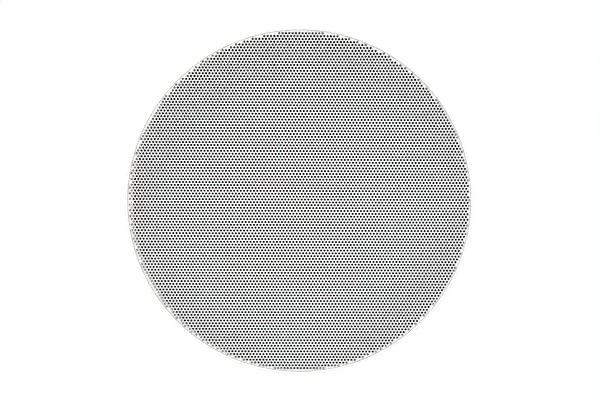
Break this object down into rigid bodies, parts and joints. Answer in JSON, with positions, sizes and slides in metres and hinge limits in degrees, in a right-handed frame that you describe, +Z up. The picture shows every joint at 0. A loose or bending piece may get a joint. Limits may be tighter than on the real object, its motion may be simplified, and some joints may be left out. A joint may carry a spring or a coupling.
{
  "type": "in-ceiling speaker",
  "caption": "Round in-ceiling loudspeaker with a flat white perforated grille over its whole face, a coaxial two-way driver, swing-out clamps and push terminals.",
  "frame": {"origin": "on the speaker's axis at the ceiling's lower face, where the flange bears", "axes": "+Z up into the ceiling void along the speaker's axis, +X towards the terminals"},
  "size_m": [0.23, 0.23, 0.0741],
  "materials": {
    "powder_coat_white": "fine powder coat",
    "scrim_cloth": "woven",
    "magnet_nickel": "nickel plate",
    "frame_plastic": "moulded satin",
    "clamp_nylon": "moulded",
    "zinc_screw": "zinc plate",
    "basket_enamel": "satin enamel",
    "gasket_foam": "closed cell foam",
    "surround_rubber": "moulded rubber",
    "cone_polypropylene": "satin moulded",
    "former_aluminium": "rolled foil",
    "copper_wire": "enamelled copper",
    "spider_cloth": "resin-dipped cloth",
    "plated_steel": "zinc plate",
    "ferrite": "pressed and ground",
    "tweeter_plastic": "moulded satin",
    "dome_silk": "coated cloth",
    "tag_board": "phenolic paper board",
    "circuit_board": "green mask",
    "bobbin_plastic": "moulded",
    "capacitor_film": "wrapped film",
    "resistor_ceramic": "cement-filled ceramic",
    "terminal_plastic": "moulded",
    "button_red": "moulded",
    "button_black": "moulded",
    "contact_brass": "rolled"
  },
  "bodies": {
    "speaker": {"grille": "powder_coat_white", "grille_scrim": "scrim_cloth", "grille_magnets": "magnet_nickel", "mounting_frame": "frame_plastic", "woofer_basket": "basket_enamel", "woofer_gasket": "gasket_foam", "woofer_screws": "zinc_screw", "woofer_surround": "surround_rubber", "spider": "spider_cloth", "top_plate": "plated_steel", "ferrite_magnet": "ferrite", "pole_yoke": "plated_steel", "woofer_terminal": "tag_board", "tweeter_post": "tweeter_plastic", "tweeter_housing": "tweeter_plastic", "tweeter_faceplate": "tweeter_plastic", "tweeter_dome": "dome_silk", "tweeter_coil": "copper_wire", "tweeter_yoke": "plated_steel", "tweeter_magnet": "magnet_nickel", "tweeter_pole_plate": "plated_steel", "crossover_board": "circuit_board", "board_screws": "zinc_screw", "inductor_bobbin": "bobbin_plastic", "inductor_winding": "copper_wire", "crossover_capacitor": "capacitor_film", "crossover_resistor": "resistor_ceramic", "terminal_block": "terminal_plastic", "terminal_contacts": "contact_brass"},
    "cone": {"woofer_cone": "cone_polypropylene", "voice_coil_former": "former_aluminium", "voice_coil": "copper_wire"},
    "button_red": {"terminal_button_red": "button_red"},
    "button_black": {"terminal_button_black": "button_black"},
    "clamp_screw_1": {"clamp_screw_1": "zinc_screw"},
    "clamp_1": {"clamp_1": "clamp_nylon"},
    "clamp_screw_2": {"clamp_screw_2": "zinc_screw"},
    "clamp_2": {"clamp_2": "clamp_nylon"},
    "clamp_screw_3": {"clamp_screw_3": "zinc_screw"},
    "clamp_3": {"clamp_3": "clamp_nylon"},
    "clamp_screw_4": {"clamp_screw_4": "zinc_screw"},
    "clamp_4": {"clamp_4": "clamp_nylon"}
  },
  "joints": [
    {"name": "cone_excursion", "type": "slide", "parent": "speaker", "child": "cone", "axis": [0, 0, 1], "range_m": [-0.003, 0.003], "stiffness_N_per_m": 1200, "deforming": ["woofer_surround", "spider"]},
    {"name": "clamp_1_swing", "type": "hinge", "parent": "speaker", "child": "clamp_screw_1", "pos_m": [0.06439, 0.06439, 0.006], "axis": [0, 0, 1], "range_deg": [0, 90]},
    {"name": "clamp_1_travel", "type": "slide", "parent": "clamp_screw_1", "child": "clamp_1", "axis": [0, 0, -1], "range_m": [0, 0.0385]},
    {"name": "clamp_2_swing", "type": "hinge", "parent": "speaker", "child": "clamp_screw_2", "pos_m": [-0.06439, 0.06439, 0.006], "axis": [0, 0, 1], "range_deg": [0, 90]},
    {"name": "clamp_2_travel", "type": "slide", "parent": "clamp_screw_2", "child": "clamp_2", "axis": [0, 0, -1], "range_m": [0, 0.0385]},
    {"name": "clamp_3_swing", "type": "hinge", "parent": "speaker", "child": "clamp_screw_3", "pos_m": [-0.06439, -0.06439, 0.006], "axis": [0, 0, 1], "range_deg": [0, 90]},
    {"name": "clamp_3_travel", "type": "slide", "parent": "clamp_screw_3", "child": "clamp_3", "axis": [0, 0, -1], "range_m": [0, 0.0385]},
    {"name": "clamp_4_swing", "type": "hinge", "parent": "speaker", "child": "clamp_screw_4", "pos_m": [0.06439, -0.06439, 0.006], "axis": [0, 0, 1], "range_deg": [0, 90]},
    {"name": "clamp_4_travel", "type": "slide", "parent": "clamp_screw_4", "child": "clamp_4", "axis": [0, 0, -1], "range_m": [0, 0.0385]},
    {"name": "terminal_red_press", "type": "slide", "parent": "speaker", "child": "button_red", "axis": [0, 0, -1], "range_m": [0, 0.003], "stiffness_N_per_m": 700},
    {"name": "terminal_black_press", "type": "slide", "parent": "speaker", "child": "button_black", "axis": [0, 0, -1], "range_m": [0, 0.003], "stiffness_N_per_m": 700}
  ]
}
